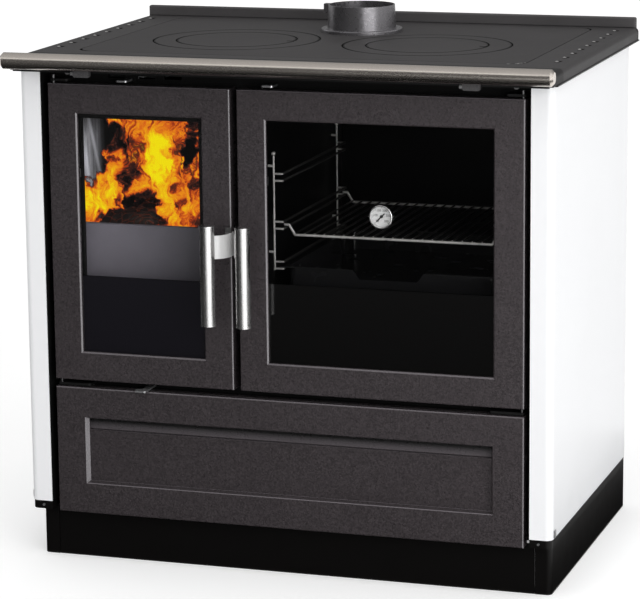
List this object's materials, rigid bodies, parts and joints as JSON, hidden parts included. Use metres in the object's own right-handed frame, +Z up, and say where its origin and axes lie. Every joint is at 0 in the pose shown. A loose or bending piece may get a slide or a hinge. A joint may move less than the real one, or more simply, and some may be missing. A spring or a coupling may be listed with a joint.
{
  "type": "wood cookstove",
  "caption": "Free-standing wood-burning cookstove with glazed firebox and oven doors, hob plate with lift-out rings, front rail, flue collar and wood drawer.",
  "frame": {"origin": "on the floor, below the middle of the whole stove's width and depth", "axes": "+X to the right seen from the front, +Y towards the back, +Z up; the doors face -Y"},
  "size_m": [0.916, 0.662, 0.896],
  "materials": {
    "hob_cast": "ground cast iron, dark grey",
    "collar_cast": "cast iron, satin grey",
    "door_cast": "matt charcoal stove paint",
    "stainless": "brushed along the bar",
    "carrier_grey": "satin grey",
    "white_enamel": "glossy white enamel",
    "black_gloss": "glossy black",
    "black_matt": "matt black heat paint",
    "sheet_steel": "bare sheet steel",
    "oven_enamel": "black vitreous enamel",
    "firebrick": "matt firebrick",
    "grate_cast": "rough cast iron",
    "oven_wire": "bright wire",
    "door_glass": "clear ceramic glass",
    "rope_seal": "knitted glass rope",
    "zinc": "zinc plated",
    "dial_case": "polished rim",
    "dial_face": "white printed dial",
    "dial_needle": "black",
    "dial_lens": "clear"
  },
  "bodies": {
    "stove": {"hob_frame": "hob_cast", "hob_upstand": "hob_cast", "hob_plate": "hob_cast", "flue_collar": "collar_cast", "rail": "stainless", "rail_caps": "stainless", "rail_carrier": "carrier_grey", "side_panel_left": "white_enamel", "side_panel_right": "white_enamel", "panel_sills": "black_gloss", "panel_hangers": "sheet_steel", "plinth_sides": "black_gloss", "kick_panel": "black_gloss", "back_panel": "sheet_steel", "front_frame": "black_matt", "latch_strike": "zinc", "side_walls": "sheet_steel", "body_floor": "sheet_steel", "mid_deck": "sheet_steel", "flue_deck": "sheet_steel", "fire_casing": "sheet_steel", "fire_bricks": "firebrick", "grate": "grate_cast", "log_guard": "grate_cast", "ash_pan": "sheet_steel", "oven_box": "oven_enamel", "oven_racks": "oven_wire", "wire_shelf": "oven_wire", "oven_tray": "oven_enamel", "hinge_brackets": "black_matt", "drawer_runners": "sheet_steel", "fasteners": "zinc"},
    "ring_left": {"hob_ring_left": "hob_cast"},
    "disc_left": {"hob_disc_left": "hob_cast"},
    "ring_right": {"hob_ring_right": "hob_cast"},
    "disc_right": {"hob_disc_right": "hob_cast"},
    "fire_door": {"fire_door_frame": "door_cast", "fire_door_glass": "door_glass", "fire_glass_clips": "zinc", "fire_door_rope": "rope_seal"},
    "fire_latch": {"fire_lever": "stainless", "fire_handle_tube": "stainless", "fire_handle_caps": "stainless"},
    "oven_door": {"oven_door_frame": "door_cast", "oven_door_glass": "door_glass", "oven_glass_clips": "zinc", "oven_door_rope": "rope_seal", "thermo_case": "dial_case", "thermo_dial": "dial_face", "thermo_lens": "dial_lens", "thermo_stem": "zinc"},
    "oven_latch": {"oven_lever": "stainless", "oven_handle_tube": "stainless", "oven_handle_caps": "stainless"},
    "needle": {"thermo_needle": "dial_needle"},
    "drawer": {"drawer_front": "door_cast", "drawer_box": "sheet_steel"},
    "secondary_air": {"secondary_air_slide": "zinc"},
    "flue_bypass": {"bypass_damper": "zinc"},
    "primary_air": {"primary_air_slide": "zinc"}
  },
  "joints": [
    {"name": "fire_door_hinge", "type": "hinge", "parent": "stove", "child": "fire_door", "pos_m": [-0.394, -0.257, 0.558], "axis": [0, 0, -1], "range_deg": [0, 100]},
    {"name": "oven_door_hinge", "type": "hinge", "parent": "stove", "child": "oven_door", "pos_m": [0.394, -0.257, 0.558], "axis": [0, 0, 1], "range_deg": [0, 100]},
    {"name": "fire_latch_turn", "type": "hinge", "parent": "fire_door", "child": "fire_latch", "pos_m": [-0.0952, -0.258, 0.556], "axis": [0, 0, 1], "range_deg": [0, 8]},
    {"name": "oven_latch_turn", "type": "hinge", "parent": "oven_door", "child": "oven_latch", "pos_m": [-0.0652, -0.258, 0.556], "axis": [0, 0, -1], "range_deg": [0, 8]},
    {"name": "drawer_slide", "type": "slide", "parent": "stove", "child": "drawer", "axis": [0, -1, 0], "range_m": [0, 0.36]},
    {"name": "ring_left_lift", "type": "slide", "parent": "stove", "child": "ring_left", "axis": [0, 0, 1], "range_m": [0, 0.12]},
    {"name": "disc_left_lift", "type": "slide", "parent": "ring_left", "child": "disc_left", "axis": [0, 0, 1], "range_m": [0, 0.12]},
    {"name": "ring_right_lift", "type": "slide", "parent": "stove", "child": "ring_right", "axis": [0, 0, 1], "range_m": [0, 0.12]},
    {"name": "disc_right_lift", "type": "slide", "parent": "ring_right", "child": "disc_right", "axis": [0, 0, 1], "range_m": [0, 0.12]},
    {"name": "secondary_air_pull", "type": "slide", "parent": "stove", "child": "secondary_air", "axis": [0, -1, 0], "range_m": [0, 0.02]},
    {"name": "flue_bypass_pull", "type": "slide", "parent": "stove", "child": "flue_bypass", "axis": [0, -1, 0], "range_m": [0, 0.11]},
    {"name": "primary_air_pull", "type": "slide", "parent": "stove", "child": "primary_air", "axis": [0, -1, 0], "range_m": [0, 0.035]},
    {"name": "needle_turn", "type": "hinge", "parent": "oven_door", "child": "needle", "pos_m": [0.16625, -0.265, 0.61], "axis": [0, 1, 0], "range_deg": [0, 270]}
  ]
}
